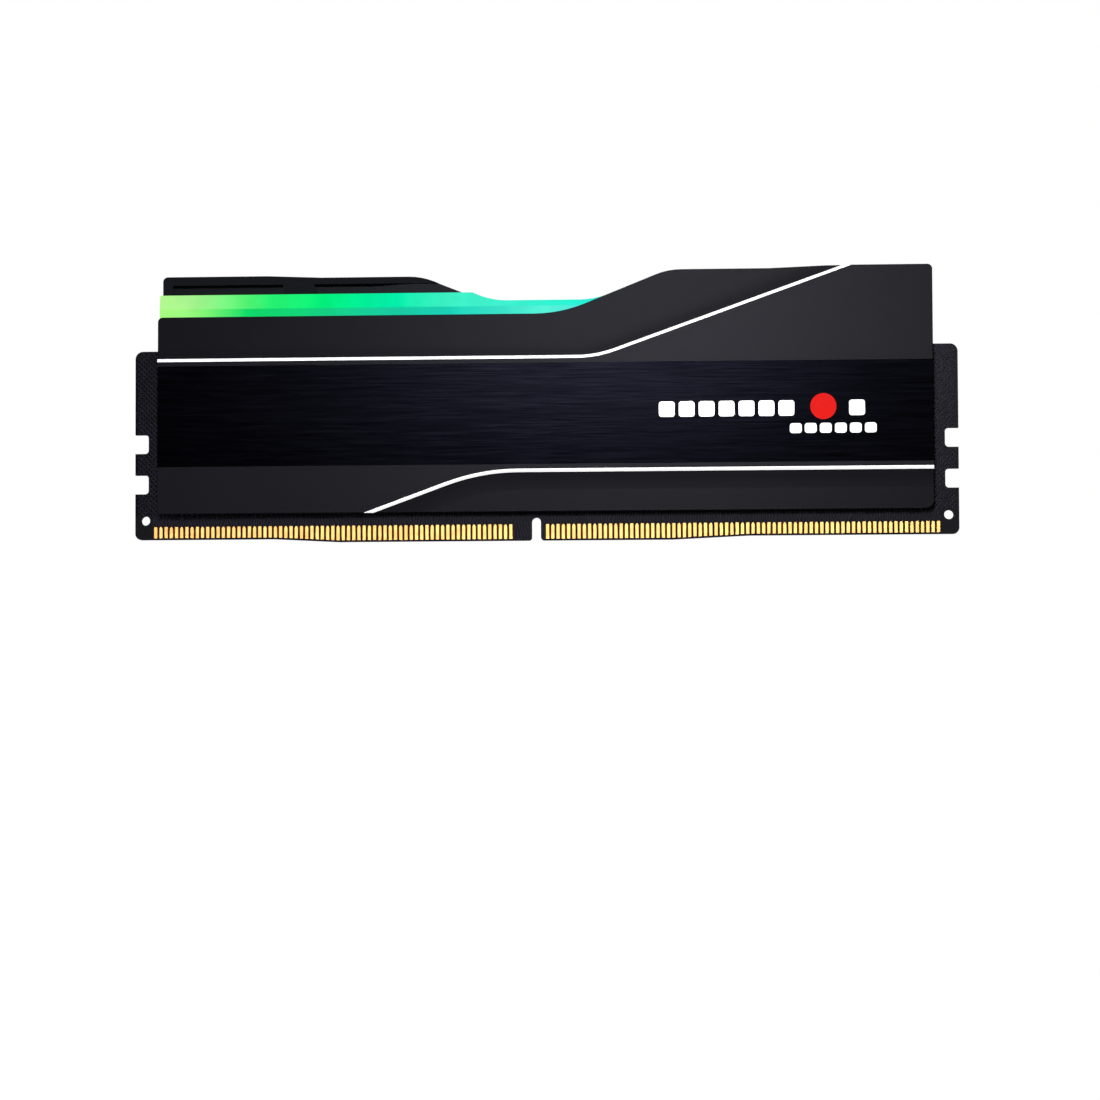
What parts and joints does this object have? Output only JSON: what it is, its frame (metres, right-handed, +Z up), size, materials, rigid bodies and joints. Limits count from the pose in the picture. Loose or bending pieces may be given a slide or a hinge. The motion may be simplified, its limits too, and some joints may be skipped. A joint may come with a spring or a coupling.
{
  "type": "ram module",
  "caption": "Desktop memory module: notched circuit board with a gold contact edge, two stepped heat spreaders with brushed inserts, and a glowing light bar along the top.",
  "frame": {"origin": "middle of the contact edge, on the board's mid-plane, at the edge's lowest level", "axes": "+X along the module to the right seen from the front, -Y towards the front, +Z up, away from the socket"},
  "size_m": [0.1334, 0.008, 0.0438],
  "materials": {
    "board_mask": "black solder mask over glass-fibre laminate, satin",
    "contact_gold": "gold plated, bright",
    "chip_mould": "black moulding compound, matt",
    "ferrite": "grey ferrite, matt",
    "capacitor_ceramic": "tan ceramic with tinned ends",
    "resistor_ceramic": "black glazed with tinned ends",
    "lamp": "white lamp package, glowing",
    "heat_pad": "soft filled silicone, matt",
    "foam": "dense black foam, matt",
    "spreader_coat": "fine matt dark grey coat over stamped aluminium",
    "accent_white": "bright white, satin",
    "insert_brushed": "black anodised, brushed along its length",
    "bonding_film": "thin pale bonding film",
    "bar_tape": "black foam tape, matt",
    "light_diffuser": "milky plastic lit from inside, satin",
    "guide_clear": "clear plastic, polished ends",
    "mark_red": "bright red screen ink"
  },
  "bodies": {
    "root": {"circuit_board": "board_mask", "contacts_front_left": "contact_gold", "contacts_front_right": "contact_gold", "contacts_back_left": "contact_gold", "contacts_back_right": "contact_gold", "memory_chip_1": "chip_mould", "memory_chip_2": "chip_mould", "memory_chip_3": "chip_mould", "memory_chip_4": "chip_mould", "memory_chip_5": "chip_mould", "memory_chip_6": "chip_mould", "memory_chip_7": "chip_mould", "memory_chip_8": "chip_mould", "power_manager": "chip_mould", "serial_hub": "chip_mould", "lamp_controller": "chip_mould", "power_inductors": "ferrite", "power_capacitors": "capacitor_ceramic", "chip_capacitors_left": "capacitor_ceramic", "chip_capacitors_right": "capacitor_ceramic", "termination_resistors": "resistor_ceramic", "lamps": "lamp", "heat_pad_left": "heat_pad", "heat_pad_right": "heat_pad", "heat_pad_power": "heat_pad", "foam_strip_left": "foam", "foam_strip_right": "foam", "heat_spreader_front": "spreader_coat", "heat_spreader_back": "spreader_coat", "accent_line_front_upper": "accent_white", "accent_line_front_lower": "accent_white", "accent_line_back_upper": "accent_white", "accent_line_back_lower": "accent_white", "brushed_insert_front": "insert_brushed", "brushed_insert_back": "insert_brushed", "insert_tape_front": "bonding_film", "insert_tape_back": "bonding_film", "bar_tape_front": "bar_tape", "bar_tape_back": "bar_tape", "light_bar": "light_diffuser", "light_guide": "guide_clear"}
  },
  "joints": []
}
